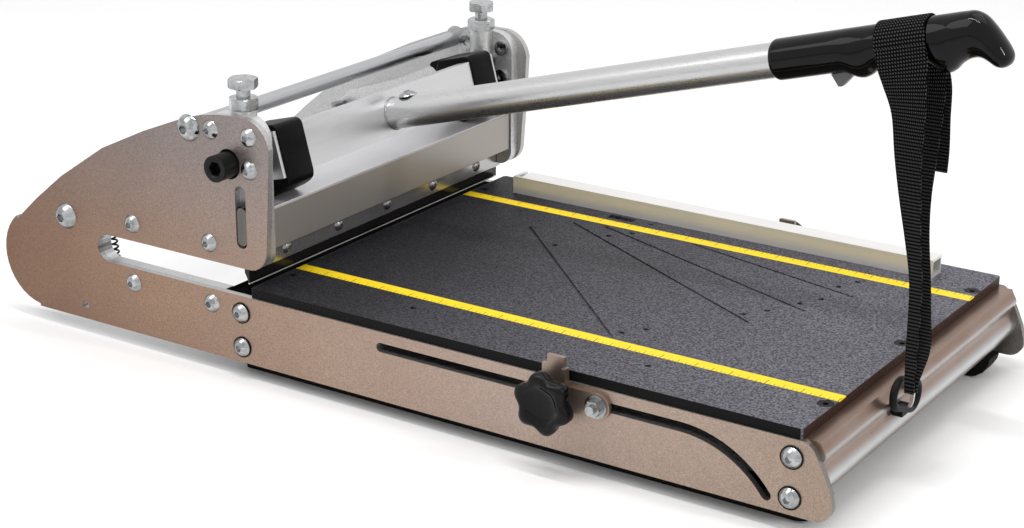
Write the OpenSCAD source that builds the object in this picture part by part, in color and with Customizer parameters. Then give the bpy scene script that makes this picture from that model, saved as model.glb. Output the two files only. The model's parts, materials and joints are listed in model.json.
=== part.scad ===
// Hand floor cutter for vinyl plank and tile: two steel side plates carry a deck,
// a guillotine blade on a sliding carrier, and a long lever that drives it through two cams.
// Units are millimetres. X points forward to the grip, Y across the tool, Z up from the ground.

/* [Deck and plates] */
// width over the outer faces of the two side plates
plates_over = 330; // [230:1:420]
// thickness of each steel side plate
plate_t = 5; // [3:0.5:8]
// height of the plate's top edge above the ground
plate_top = 62; // [50:1:80]
// depth of the plate's long lower arm
arm_h = 51; // [40:1:60]
// length of the deck from the cutting line to its front edge
deck_len = 433; // [300:1:600]
// thickness of the deck board
deck_t = 7; // [5:0.5:15]
// inset of the deck edge from the outer plate face
deck_inset = 1.4; // [0:0.1:4]

/* [Head] */
// pivot of the lever, measured forward from the cutting line
pivot_x = -14; // [-30:0.5:0]
// pivot height above the plate's top edge
pivot_up = 97; // [80:0.5:120]
// height of the throat that long boards pass through
throat_h = 21.4; // [12:0.1:30]
// depth of the throat behind the cutting line
throat_deep = 146; // [80:1:200]
// thickness of the cast C frame inside each plate
cast_t = 9; // [6:0.5:15]
// diameter of the round tie rods
rod_d = 12; // [8:0.5:20]
// width of the vertical guide slot
slot_w = 9.6; // [6:0.1:14]

/* [Lever] */
// slope of the handle when it is down
lever_tilt = 15.35; // [5:0.05:30]
// largest lift of the handle
lever_lift = 70; // [40:1:80]
// drop of the carrier per radian of handle travel
cam_rate = 12; // [6:0.5:20]
// height of the flat bar between the cams
bar_h = 34; // [20:1:50]
// thickness of the flat bar
bar_t = 10; // [6:0.5:16]
// outside diameter of the handle tube
tube_d = 24; // [18:0.5:32]
// outside diameter of the dipped grip
grip_d = 28; // [22:0.5:36]
// distance along the handle from the pivot to the rear end of the grip
grip_from = 349; // [200:1:500]

/* [Blade] */
// thickness of the blade
blade_t = 4; // [2:0.5:6]
// height of the cutting edge above the deck's underside at rest
edge_up = 7.2; // [5:0.1:12]
// half length of the blade
blade_half = 158; // [100:1:200]

/* [Stops and fence] */
// distance of the side stops forward of the cutting line
stop_x = 256; // [125:1:330]
// diameter of the star knobs
knob_d = 43; // [25:1:50]
// length of the fence rail
fence_len = 362; // [200:1:420]

/* [Hidden] */
$fn = 48;
blade_gap = 2;
half = max(plates_over / 2, blade_half + blade_gap + plate_t);
inner = half - plate_t;
cast_in = inner - cast_t;
z0 = plate_top;
deck_half = half - deck_inset;
deck_top = z0 + deck_t;
pz = z0 + pivot_up;
ct = cos(lever_tilt);
st = sin(lever_tilt);
blade_front = -5;
cam_gap = 0.3;
cam_h0 = 31 - cam_gap;
cam_y1 = cast_in - 16.5;
cam_y0 = cam_y1 - 29;
adj_x = -13;
adj_y = cast_in - 3.5;
spring_y = cast_in - 8.5;
clear = 0.15;
spring_lean = -8.4;
// how much longer the deck is than the one that the front end and the handle were drawn for
more = deck_len - 433;
reach = more / ct;
wide = deck_half / 163.6;
rear_x = -244.5;
tip_x = pivot_x + (504 + reach) * ct + 20.4 * st + 7.3;
mid_x = (rear_x + tip_x) / 2;
c_bolts = [[-29.7, 119.3], [4.8, 119.2], [4.6, 95.3], [-109.7, 34.7], [-35.5, 34.6],
           [-111.2, -11.6], [-35.2, -11.4]];
tie_top = [-50, 117.5];
tie_rear = [-177, 28.2];
rail_bolts_xz = [[-7.6, -12.9], [-7.6, -39], [deck_len - 5.7, -12.3], [deck_len - 5.7, -39.5]];
deck_screws_xy = [[deck_len - 6, 44.1 - deck_half], [deck_len - 7, 1], [deck_len - 6, deck_half - 41.1],
                  [7.3, 38.8 - deck_half], [7.3, deck_half - 41.1]];
pin_holes = [[128.7, 38.3], [151.3, 79.2], [163.2, 94.9], [164.4, 121.6], [261.6, -88.2], [272.4, -73.9],
             [313.5, -10.6], [323.9, 4.4], [336.7, 30.1], [345.4, 45.7], [345, 75.8], [351.8, 92.5],
             [118.2, -129.9], [305.6, -129.1]];
grooves = [[[90, 63.2], [259, -97.5]], [[113, 90.8], [323.5, -23.3]], [[138, 97], [345.5, 18.2]],
           [[216, 98.5], [362, 62.8]]];
ruler_y = deck_half - 56.6;
ruler_w = 11;
fence_y0 = deck_half - 34.8;
fence_y1 = fence_y0 + 17.2;
fence_h = 14;
fence_x0 = 31.5;
pin_y = (fence_y0 + fence_y1) / 2;
pin_x = [fence_x0 + 38.5, fence_x0 + fence_len - 38.5];
run_y1 = inner - 10;
run_y0 = run_y1 - 19;
strip_gap = 0.3885 * (blade_half - 2);
grip_at = grip_from + reach;
grip_len = 494 - grip_from;
foot_t = 3;
strap_u = 444.5 + reach;
strap_w = 35;
strap_t = 2;
eye = [451.2 + more, -49.5, 56];

// moves the drawing so that the origin is under the middle of the whole tool
module place() { translate([-mid_x, 0, 0]) children(); }
// a flat outline in X and Z, made thick from y0 to y1
module slab(y0, y1) { translate([0, y1, 0]) rotate([90, 0, 0]) linear_extrude(y1 - y0) children(); }
// draw once for the near side and once mirrored for the far side
module pair() { children(); mirror([0, 1, 0]) children(); }
// a rod along Y
module rod(x, z, r, y0, y1) { translate([x, y1, z]) rotate([90, 0, 0]) cylinder(r = r, h = y1 - y0); }
// a rounded slot outline between two points
module oblong(a, b, r) {
    d = b - a;
    len = norm(d);
    translate(a) rotate(atan2(d[1], d[0])) union() {
        circle(r);
        translate([len, 0]) circle(r);
        translate([0, -r]) square([len, 2 * r]);
    }
}
// a domed screw head on the near side, its flat face at y, with a hex socket
module dome_head(x, z, y, r, h) {
    big = (r * r + h * h) / (2 * h);
    translate([x, y, z]) rotate([90, 0, 0]) difference() {
        intersection() {
            translate([0, 0, h - big]) sphere(big, $fn = 72);
            cylinder(r = r, h = h + 1);
        }
        translate([0, 0, h * 0.45]) cylinder(r = r * 0.36, h = h, $fn = 6);
    }
}
// lever coordinates (u along the handle, v above it) to X and Z about the pivot
function lev(u, v) = [u * ct - v * st, u * st + v * ct];
module on_lever() { translate([pivot_x, 0, pz]) rotate([0, -lever_tilt, 0]) children(); }

function arc(c, r, a0, a1, n) = [for (i = [0 : n]) c + r * [cos(a0 + (a1 - a0) * i / n), sin(a0 + (a1
    - a0) * i / n)]];

module plate_outline() {
    polygon(concat(
        [[-211, -arm_h], [more + 442, -arm_h]],
        arc([more + 444, -arm_h + 11.5], 11.5, -90, 12, 7),
        [[more + 452.5, -27], [more + 447, -14.8], [more + 441.5, -4.5]],
        arc([more + 434, -6], 6, 35, 90, 3),
        arc([-throat_deep + 10.9, throat_h / 2], throat_h / 2, 270, 90, 12),
        [[-1, throat_h]],
        arc([1, throat_h + 17], 17, -82, -8, 8),
        [[20, 66], [22.8, 113]],
        arc([0, 109.5], 22.8, 8, 84, 8),
        [[-12, 132.3], [-24.5, 131.2], [-38.4, 128.7], [-60, 121.7], [-93.5, 108.1], [-135.3, 88.4],
         [-179.4, 59.2], [-207, 36.9], [-230, 16]],
        arc([-206, -11], 38.5, 130, 262, 14)));
}
// the long slot of the side stop: straight, then bending down at its front end
module stop_slot() {
    bend = [more + 349, -89.8];
    polygon(concat(
        arc([116.2, -11.4], 3.4, 270, 90, 10),
        arc(bend, 81.8, 90, 37.4, 12),
        arc(bend + 78.4 * [cos(37.4), sin(37.4)], 3.4, 19.4, -124.6, 8),
        arc(bend, 75, 37.4, 90, 12)));
}
module plate_2d() {
    difference() {
        plate_outline();
        translate([-4.5, 41]) oblong([0, 0], [0, 36.5], slot_w / 2);
        oblong([pivot_x, pivot_up - 1], [pivot_x, pivot_up + 1], 10);
        stop_slot();
        translate([-162.5, -40.1]) circle(3);
        for (p = c_bolts) translate(p) circle(4 + clear);
        for (p = [tie_top, tie_rear]) translate(p) circle(4 + clear);
        for (p = rail_bolts_xz) translate(p) circle(4 + clear);
    }
}
module side_plate() { translate([0, 0, z0]) slab(-half, -inner) plate_2d(); }

module c_frame_outline() {
    polygon(concat(
        arc([-throat_deep + 10.9, throat_h / 2], throat_h / 2, 270, 90, 12),
        [[0, throat_h]],
        arc([2, throat_h + 12.5], 12.5, -80, -4, 6),
        arc([-1.5, 115.8], 16, 0, 88, 7),
        [[-12, 132.3], [-23, 131.2]],
        arc([-24, 118.2], 13, 88, 176, 6),
        [[-38, 108], [-60, 97], [-100, 78], [-152, 60], [-163, 50], [-166, 34], [-166, 8], [-162, -8],
         [-150, -20], [-140, -24], [-26.5, -24], [-26.5, -0.3]]));
}
module c_frame() {
    difference() {
        union() {
            translate([0, 0, z0]) slab(-inner, -cast_in) difference() {
                c_frame_outline();
                translate([-9.5, 10]) square([10, 67.5]);
                translate([-4.5, 77.5]) circle(5);
                for (p = c_bolts) translate(p) circle(4 + clear);
            }
            translate([adj_x, -adj_y, z0 + 110]) cylinder(r = 9.2, h = 23.3);
        }
        rod(pivot_x, pz - 1, 10, -inner - 1, -cast_in);
        rod(pivot_x, pz + 1, 10, -inner - 1, -cast_in);
        translate([pivot_x - 10, -inner - 1, pz - 1]) cube([20, cast_t + 1, 2]);
        translate([adj_x, -adj_y, z0 + 100]) cylinder(r = 5.08, h = 40);
    }
}
module spring_seats() {
    translate([-150.3, -spring_y, z0 - 11.3]) rotate([0, spring_lean, 0]) for (z = [-3, 59])
        translate([0, 0, z]) {
        cylinder(r = 5.5, h = 3);
        translate([-3, -8.5, 0]) cube([6, 8.5, 3]);
    }
}
// one unbroken wire wound from the lower seat to the upper seat
module coil(turns, r, w, h) {
    n = turns * 12;
    function c(i) = [r * cos(i * 30), r * sin(i * 30), w + (h - 2 * w) * i / n];
    k = (h - 2 * w) / (2 * PI * r * turns);
    function ring(i) = [for (j = [0 : 5]) c(i) + w * (cos(j * 60) * [cos(i * 30), sin(i * 30), 0]
        + sin(j * 60) * [sin(i * 30) * k, -cos(i * 30) * k, 1] / sqrt(1 + k * k))];
    pts = [for (i = [0 : n]) each ring(i)];
    polyhedron(pts, concat(
        [[0, 1, 2, 3, 4, 5]], [[for (j = [5 : -1 : 0]) n * 6 + j]],
        [for (i = [0 : n - 1]) for (j = [0 : 5]) [i * 6 + j, (i + 1) * 6 + j, i * 6 + (j + 1) % 6]],
        [for (i = [0 : n - 1]) for (j = [0 : 5]) [(i + 1) * 6 + j, (i + 1) * 6 + (j + 1) % 6, i * 6 +
            (j + 1) % 6]]),
        convexity = 10);
}
module spring() { translate([-150.3, -spring_y, z0 - 11.3]) rotate([0, spring_lean, 0]) coil(14, 3.7,
    0.8, 59); }
echo(least_spring_gap = (59 - 1.6) / 14 - 1.6);

module tie_bolt(p) {
    dome_head(p[0], z0 + p[1], -half, 10, 6.5);
    rod(p[0], z0 + p[1], 4, -half, -inner + 14);
}
module tie_rod(p) {
    difference() {
        rod(p[0], z0 + p[1], rod_d / 2, -inner, inner);
        for (s = [-1, 1]) rod(p[0], z0 + p[1], 4 + clear, s * (inner - 7.5) - 7.6, s * (inner - 7.5)
            + 7.6);
    }
}
module c_frame_bolt(p) {
    dome_head(p[0], z0 + p[1], -half, 7, 4.4);
    rod(p[0], z0 + p[1], 4, -half, -cast_in);
    translate([p[0], -cast_in, z0 + p[1]]) rotate([-90, 0, 0]) difference() {
        cylinder(r = 6, h = 2.2);
        translate([0, 0, 0.9]) cylinder(r = 2.6, h = 2, $fn = 6);
    }
}
module rail_bolt(p) {
    dome_head(p[0], z0 + p[1], -half - 1, 7, 4.4);
    rod(p[0], z0 + p[1], 4, -half - 1, -inner + 16);
}
module rail_washer(p) {
    translate([p[0], -half, z0 + p[1]]) rotate([90, 0, 0]) difference() {
        cylinder(r = 7.8, h = 1);
        translate([0, 0, -1]) cylinder(r = 4 + clear, h = 3);
    }
}
module rear_rail() {
    translate([0, 0, z0]) difference() {
        slab(-inner, inner) difference() {
            polygon([[-25, -46], [10, -46], [11, -45], [11, 0], [-25, 0], [-26, -1], [-26, -45]]);
            for (p = rail_bolts_xz) if (p[0] < 0) translate(p) circle(4 + clear);
            translate([-22, -34]) square([29, 14]);
        }
        for (p = deck_screws_xy) if (p[0] < 100) translate([p[0], p[1], -12]) cylinder(r = 1.6 +
            clear, h = 14);
    }
}
// the front rail's face: two rounded swells with a hollow between them
function rail_face(z) = 443.2 + 4.2 * exp(-pow((z + 8.6) / 5.6, 2)) + 5 * exp(-pow((z + 27.5) / 8, 2))
    - 6 * pow(max(0, -z - 30) / 15, 2);
module front_rail() {
    translate([0, 0, z0]) difference() {
        slab(-inner, inner) difference() {
            translate([more, 0]) polygon(concat([[412, -46], [436.5, -46]],
                [for (i = [0 : 24]) [rail_face(-45 + 1.8 * i), -45 + 1.8 * i]], [[443.5, 0], [412, 0]]));
            for (p = rail_bolts_xz) if (p[0] > 0) translate(p) circle(4 + clear);
            translate([more + 415, -33]) square([24, 13]);
        }
        for (p = deck_screws_xy) if (p[0] > 100) translate([p[0], p[1], -18]) cylinder(r = 2.5 +
            clear, h = 20);
        translate([eye[0] - 21.6, eye[1], -16.5]) rotate([0, 90, 0]) cylinder(r = 2.5 + clear, h = 30);
    }
}
module runner() {
    translate([0, 0, z0]) slab(-run_y1, -run_y0)
        polygon([[-17, -plate_top], [more + 424, -plate_top], [more + 431.5, -60.7], [more + 437, -57],
                 [more + 440.5, -51], [more + 441.5, -46], [-17, -46]]);
}
module deck() {
    r = 3;
    difference() {
        translate([0, 0, z0]) linear_extrude(deck_t) difference() {
            union() {
                translate([0, -deck_half + r]) square([deck_len, 2 * deck_half - 2 * r]);
                translate([r, -deck_half]) square([deck_len - 2 * r, 2 * deck_half]);
                for (x = [r, deck_len - r]) for (s = [-1, 1]) translate([x, s * (deck_half - r)])
                    circle(r);
            }
            for (p = deck_screws_xy) translate(p) circle(p[0] > 100 ? 2.5 + clear : 1.6 + clear);
        }
        for (s = [-1, 1]) translate([-1, s * ruler_y - ruler_w / 2, deck_top - 1])
            cube([deck_len + 2, ruler_w, 2]);
        for (p = deck_screws_xy) translate([p[0], p[1], deck_top - 3.4])
            cylinder(r1 = p[0] > 100 ? 2.6 : 1.7, r2 = p[0] > 100 ? 6.1 : 3.1, h = p[0] > 100 ? 3.5 :
                3.4);
        for (p = pin_holes) translate([p[0] * deck_len / 433, p[1] * wide, deck_top - 5]) cylinder(r
            = 2.2, h = 6);
        for (x = pin_x) translate([x, pin_y, deck_top - 6]) cylinder(r = 3.08, h = 7);
        translate([127, ruler_y + 10, deck_top - 2.5]) cube([22, 8, 3]);
        for (g = grooves) translate([0, 0, deck_top - 1.2]) linear_extrude(2)
            oblong([g[0][0] * deck_len / 433, g[0][1] * wide], [g[1][0] * deck_len / 433, g[1][1] *
                wide], 1.1);
    }
}
module ruler(s) {
    translate([0.4, s * ruler_y - ruler_w / 2, deck_top - 1]) cube([deck_len - 0.8, ruler_w, 0.95]);
}
module deck_screw(p) {
    r = p[0] > 100 ? 2.5 : 1.6;
    head = p[0] > 100 ? 5.6 : 2.9;
    translate([p[0], p[1], deck_top - 3.2]) difference() {
        union() {
            cylinder(r1 = r, r2 = head, h = 2.9);
            translate([0, 0, -16 * r / 2.5]) cylinder(r = r, h = 16 * r / 2.5 + 0.1);
        }
        translate([0, 0, 1.4]) cylinder(r = r * 0.85, h = 3, $fn = 6);
    }
}
module fence() {
    difference() {
        translate([fence_x0, fence_y0, deck_top]) cube([fence_len, fence_y1 - fence_y0, fence_h]);
        translate([fence_x0 - 1, fence_y0 + 2, deck_top + 2]) cube([fence_len + 2, fence_y1 -
            fence_y0 - 4, fence_h - 4]);
        translate([fence_x0 + 3.2, fence_y0 + 2.5, deck_top + fence_h - 3]) cube([3, 20, 4]);
        for (x = pin_x) translate([x, pin_y, deck_top - 1]) cylinder(r = 3, h = 4);
    }
}
module fence_pins() {
    for (x = pin_x) translate([x, pin_y, deck_top - 5.5]) cylinder(r = 3, h = 9.5);
}
// an oblong ring lying against the rail's face, with the saddle and screw that hold it
module rail_eye() {
    translate(eye) rotate([-21, 0, 0]) rotate([0, 0, 90]) rotate([90, 0, 0]) union() {
        for (s = [0, 180]) rotate(s) {
            translate([12, 0, 0]) rotate(-90) rotate_extrude(angle = 180) translate([9.3, 0])
                circle(2.6, $fn = 20);
            translate([-12, 9.3, 0]) rotate([0, 90, 0]) cylinder(r = 2.6, h = 24, $fn = 20);
        }
    }
    translate([eye[0] - 5.6, eye[1] - 7, z0 - 19.5]) cube([7.1, 12, 6]);
    translate([eye[0] - 19.6, eye[1], z0 - 16.5]) rotate([0, 90, 0]) cylinder(r = 2.5, h = 18);
}
module pivot_block() {
    difference() {
        translate([pivot_x - 12, -cast_in, pz - 12]) cube([24, 12.5, 24.3]);
        rod(pivot_x, pz, 6 + clear, -cast_in - 1, -cast_in + 14);
    }
}
module pivot_bolt() {
    difference() {
        union() {
            rod(pivot_x, pz, 9.5, -half - 15, -cast_in);
            rod(pivot_x, pz, 6, -cast_in - 1, -cam_y0 + 1.5);
        }
        translate([pivot_x, -half - 8, pz]) rotate([90, 0, 0]) cylinder(r = 5.6, h = 8, $fn = 6);
        translate([pivot_x, -half - 14.2, pz]) rotate([90, 0, 0]) cylinder(r1 = 5.6, r2 = 6.6, h = 1);
    }
}
module pivot_washer() {
    translate([pivot_x, -cast_in + 12.5, pz]) rotate([-90, 0, 0]) difference() {
        cylinder(r = 9, h = 3.6);
        translate([0, 0, -1]) cylinder(r = 6 + clear, h = 6);
    }
}
module hex_block(r, h, hole) {
    difference() {
        intersection() {
            cylinder(r = r, h = h, $fn = 6);
            translate([0, 0, -0.01]) cylinder(r1 = r - 1, r2 = r + h, h = h + 0.1);
            cylinder(r1 = r + h, r2 = r - 1, h = h);
        }
        if (hole > 0) translate([0, 0, -1]) cylinder(r = hole, h = h + 2);
    }
}
module lock_nut() { translate([adj_x, -adj_y, z0 + 133.3]) rotate(20) hex_block(11, 8.5, 5.1); }
module adjuster() {
    translate([adj_x, -adj_y, z0 + 109.3]) cylinder(r = 5, h = 39.6);
    translate([adj_x, -adj_y, z0 + 148.7]) rotate(-5) hex_block(11, 6.8, 0);
}

module bar_2d(e = 0) { translate([12.5 - e, -19.5 - e]) square([bar_t + 2 * e, bar_h + 2 * e]); }
module lever_bar() { on_lever() slab(-cam_y1 - 3, cam_y1 + 3) bar_2d(); }
function cam_point(a) = [cam_rate * cos(a) - (cam_h0 - cam_rate * a * PI / 180) * sin(a),
                         -cam_rate * sin(a) - (cam_h0 - cam_rate * a * PI / 180) * cos(a)];
module cam() {
    translate([pivot_x, 0, pz]) difference() {
        union() {
            slab(-cam_y1, -cam_y0) polygon(concat(
                [lev(18, 19), lev(21.3, 18.2), lev(23.4, 16), lev(24, 13.2), lev(24, -21), lev(22.8,
                    -25.2),
                 lev(19, -28), lev(13.5, -30.2)],
                [for (a = [0 : 5 : lever_lift]) cam_point(a)],
                [[-15, -3], [-15.5, 6], [-13.5, 13], lev(-8, 19)]));
            slab(-cam_y1, 8.5 - cam_y1) polygon([lev(-6, 19), lev(-30.5, 16.8), lev(-33, 15.2),
                lev(-32.6, 13),
                lev(-29.8, 11.6), lev(-28.8, 9.4), lev(-26, 7.5), lev(-20, 2.5), lev(-12, -2),
                    lev(-5, 0)]);
        }
        rotate([0, -lever_tilt, 0]) slab(-cam_y1 - 1, -cam_y0 + 1) bar_2d();
        rod(0, 0, 6.05, -cam_y1 - 1, -cam_y0 + 1);
    }
}
// everything on the handle's own axis, drawn along X from the bar's front face
module handle_axis(from) { on_lever() translate([from, 0, -3.4]) rotate([0, 90, 0]) children(); }
module handle_tube() {
    difference() {
        handle_axis(22.5) difference() {
            cylinder(r = tube_d / 2, h = 470 + reach);
            translate([0, 0, -1]) cylinder(r = tube_d / 2 - 1.8, h = 480 + reach);
        }
        on_lever() translate([38.5, 0, -10]) cylinder(r = 4 + clear, h = 40);
    }
}
module handle_plug() {
    difference() {
        handle_axis(22.5) cylinder(r = tube_d / 2 - 1.9, h = 42);
        on_lever() translate([38.5, 0, -9]) cylinder(r = 4 + clear, h = 40);
    }
}
module handle_bolt() {
    on_lever() {
        translate([38.5, 0, tube_d / 2 - 3.4]) rotate([-90, 0, 0]) dome_head(0, 0, 0, 7.5, 3.8);
        translate([38.5, 0, -8]) cylinder(r = 4, h = tube_d / 2 - 3.4 + 8.2);
    }
}
module grip() {
    difference() {
        union() {
            handle_axis(grip_at) rotate_extrude() polygon(concat(
                [[0, 0], [grip_d / 2 - 3.5, 0]], arc([grip_d / 2 - 4, 4], 4, -80, 0, 5), [[grip_d /
                    2, grip_len], [0, grip_len]]));
            on_lever() translate([reach, 0, 0]) {
                for (b = [[411, -13, 9.6, 2.6], [469.2, -19.2, 7.6, 3]]) {
                    rod(b[0], b[1], b[2], -b[3], b[3]);
                    for (s = [-1, 1]) translate([b[0], s * b[3], b[1]]) sphere(b[2]);
                }
                hull() {
                    for (s = [-1, 1]) {
                        translate([491.2, s * 4, 2]) sphere(8.7, $fn = 32);
                        translate([504, s * 3.5, -20.4]) sphere(7.3, $fn = 32);
                        translate([485, s * 3.5, -8.5]) sphere(9.6, $fn = 32);
                    }
                }
            }
        }
        handle_axis(grip_at - 1) cylinder(r = tube_d / 2, h = grip_len - 0.5);
    }
}
module grip_lug() {
    on_lever() translate([reach, 0, 0]) slab(-3, 3) difference() {
        polygon([[387, -15], [403.5, -15], [402.5, -20.5], [394, -26.3], [391.5, -26]]);
        translate([380, -3.4 - grip_d / 2]) square([40, grip_d / 2]);
        translate([411, -13]) circle(9.8);
    }
}
module strap_loop() {
    r = grip_d / 2 + 0.1;
    handle_axis(strap_u - strap_w / 2) difference() {
        union() {
            cylinder(r = r + strap_t - 0.1, h = strap_w);
            translate([0, -r - strap_t + 0.1, 0]) cube([13, 2 * r + 2 * strap_t - 0.2, strap_w]);
        }
        translate([0, 0, -1]) cylinder(r = r, h = strap_w + 2);
        translate([0, -r, -1]) cube([40, 2 * r, strap_w + 2]);
    }
}
// a flat band through level sections, each given as X, Y, Z above the plates and width, lowest first
module ribbon(p, t) {
    n = len(p);
    pts = [for (q = p) each [[q[0] - q[3] / 2, q[1] - t / 2, z0 + q[2]], [q[0] + q[3] / 2, q[1] - t /
        2, z0 + q[2]],
                             [q[0] + q[3] / 2, q[1] + t / 2, z0 + q[2]], [q[0] - q[3] / 2, q[1] + t /
                                 2, z0 + q[2]]]];
    polyhedron(pts, concat([[0, 1, 2], [0, 2, 3]],
        [[4 * n - 1, 4 * n - 2, 4 * n - 3], [4 * n - 1, 4 * n - 3, 4 * n - 4]],
        [for (i = [0 : n - 2]) for (j = [0 : 3]) [4 * i + j, 4 * i + 4 + j, 4 * i + 4 + (j + 1) % 4]],
        [for (i = [0 : n - 2]) for (j = [0 : 3]) [4 * i + j, 4 * i + 4 + (j + 1) % 4, 4 * i + (j + 1)
            % 4]]));
}
strand_near = [[459.5, -65, 2, 6.5], [459.3, -65, 10, 7], [455, -55, 27, 8], [450.8, -44, 46, 8.5],
    [445.8, -34, 67, 9], [438.8, -26, 89, 11], [432.6, -20, 113, 15], [428, -17.2, 140, 18.5],
    [426, -17.2, 168, 22.5], [421.8, -17.2, 192, 29], [420.5, -17.2, 205, 30], [418.5, -17.2, 213, 32.5],
    [416.5, -17.2, 220, 30], [415.5, -17.2, 225, 17]];
strand_far = [[460.2, -61.6, 2, 7], [460.2, -61.6, 10, 8], [458.5, -46, 27, 11], [452, -33, 46, 11],
    [445, -21.5, 67, 11.5], [438.5, -12, 89, 11.5], [433.5, -3, 113, 13], [429.5, 10.5, 140, 15],
    [427.5, 14.6, 155, 18], [425.5, 16.2, 168, 21.5], [420.8, 17.2, 192, 29], [419.8, 17.2, 205, 30],
    [418.2, 17.2, 213, 32.5], [416.5, 17.2, 220, 30], [415.5, 17.2, 225, 17]];
loose_end = [[435.4, 20.2, 123, 10], [435, 20, 140, 11.5], [432, 19.6, 160, 16], [427.5, 19.2, 180, 24],
    [421, 18.9, 196, 29], [419.8, 18.9, 204, 29.5]];
// moves and stretches a strand so that it still runs from the grip to the ring
function hung(p) = [for (q = p) [q[0] + more, q[1], q[2] * (1 + reach * st / 213), q[3]]];
module strap_tail() {
    ribbon(hung(strand_near), 1.8);
    ribbon(hung(strand_far), 1.8);
    ribbon(hung(loose_end), 1.6);
}
module strap_hook() {
    translate([more, 0, z0]) slab(-64.1, -62.5)
        polygon([[457, 9], [462.6, 9], [462.6, 1], [462.2, -4], [461, -7.5], [459.6, -8], [459,
            -6.5], [459.8, -4],
                 [459.6, 1], [457, 3]]);
}

module blade_carrier() {
    translate([0, 0, z0]) difference() {
        slab(-cast_in + 1, cast_in - 1) difference() {
            polygon([[11.8, 66], [13, 64.6], [13, 36], [12.4, 35.4], [blade_front, 35.4],
                [blade_front, 56],
                     [blade_front - blade_t, 56], [blade_front - blade_t, 19.5], [-14, 19.5], [-23, 31],
                     [-23, 60], [-29, 62], [-29, 65], [-28, 66]]);
            translate([-20.5, 36]) square([8.5, 24]);
            translate([-2, 41]) square([12, 20]);
        }
        for (s = [-1, 1]) translate([-31, s > 0 ? cam_y1 - 10 : -inner, 48]) cube([19, inner - cam_y1
            + 10, 30]);
        for (i = [-2 : 2]) translate([-12, i * strip_gap, 26]) rotate([0, 90, 0]) cylinder(r = 2.5 +
            clear, h = 20);
        for (s = [-1, 1]) rod(-4.5, 62, 2.5 + clear, s * (cast_in - 6) - 7, s * (cast_in - 6) + 7);
    }
}
module clamp_strip() {
    translate([0, 0, z0]) difference() {
        slab(-blade_half + 2, blade_half - 2) polygon([[blade_front, 18], [-0.6, 18], [0, 18.6], [0,
            35.4],
            [blade_front, 35.4]]);
        for (i = [-2 : 2]) translate([-12, i * strip_gap, 26]) rotate([0, 90, 0]) cylinder(r = 2.5 +
            clear, h = 20);
    }
}
module clamp_screws() {
    for (i = [-2 : 2]) translate([0, i * strip_gap, z0 + 26]) {
        rotate([0, 0, 90]) dome_head(0, 0, 0, 4.8, 2.6);
        rotate([0, -90, 0]) cylinder(r = 2.5, h = 11.5);
    }
}
module blade() {
    translate([0, 0, z0]) difference() {
        slab(-blade_half, blade_half) difference() {
            translate([blade_front - blade_t, edge_up]) square([blade_t, 55.8 - edge_up]);
            translate([blade_front - blade_t - 15.6, edge_up - 3.2]) circle(19.2, $fn = 96);
        }
        for (s = [-1, 1]) translate([-12, s > 0 ? cast_in - 1.5 : -inner, 36]) cube([10, cast_t +
            1.5, 30]);
        for (i = [-2 : 2]) translate([-12, i * strip_gap, 26]) rotate([0, 90, 0]) cylinder(r = 2.5 +
            clear, h = 20);
    }
}
module guide_key() {
    translate([0, 0, z0]) {
        slab(-inner - 4.2, -cast_in + 1) translate([-4.5, 42.5]) oblong([0, 0], [0, 19], 4.5);
        rod(-4.5, 62, 2.5, -cast_in, 12 - cast_in);
    }
}

// a foot lying on the plate, with a tab that stands up past the deck's edge
module stop_bracket() {
    difference() {
        union() {
            slab(-half - foot_t, -half) union() {
                translate([stop_x - 7, z0 - 20]) square([41, 17.2]);
                translate([stop_x - 7, z0 - 4]) square([17, 14]);
                translate([stop_x - 3, z0]) square([13, 16.5]);
                translate([stop_x + 34.5, z0 - 11.4]) circle(9.6);
            }
            translate([stop_x + 9, -half - foot_t - 2.5, z0 - 3]) cube([3, foot_t + 2.5, 12.5]);
        }
        for (x = [4, 34.5]) rod(stop_x + x, z0 - 11.4, 3.2 + clear, -half - foot_t - 1, -half + 1);
    }
}
module stop_bolts() {
    for (x = [4, 34.5]) {
        rod(stop_x + x, z0 - 11.4, 3.2, x > 10 ? -half - foot_t - 9 : -half - foot_t - 16, -inner);
        rod(stop_x + x, z0 - 11.4, 7, -inner, -inner + 3);
    }
    translate([stop_x + 34.5, -half - foot_t, z0 - 11.4]) rotate([90, 0, 0]) {
        difference() {
            cylinder(r = 8, h = 1.4);
            translate([0, 0, -1]) cylinder(r = 3, h = 4);
        }
        translate([0, 0, 1.4]) difference() {
            cylinder(r = 5.9, h = 4.8, $fn = 6);
            translate([0, 0, -1]) cylinder(r = 3, h = 8);
        }
    }
}
// a star knob with six soft lobes, a hub and a dished face
module knob() {
    translate([stop_x + 4, -half - foot_t, z0 - 11.4]) rotate([90, 0, 0]) difference() {
        union() {
            cylinder(r = 9, h = 8);
            intersection() {
                translate([0, 0, 7]) linear_extrude(14)
                    polygon([for (a = [0 : 5 : 355]) (knob_d / 2 - 1.9 + 1.9 * cos(6 * (a - 43))) *
                        [cos(a), sin(a)]]);
                translate([0, 0, 14 - 19]) sphere(33, $fn = 96);
                translate([0, 0, 14 + 21]) sphere(35, $fn = 96);
            }
        }
        translate([0, 0, 21 + 24.5]) sphere(28, $fn = 96);
        translate([0, 0, -1]) cylinder(r = 3.27, h = 17.5);
    }
}

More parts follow.
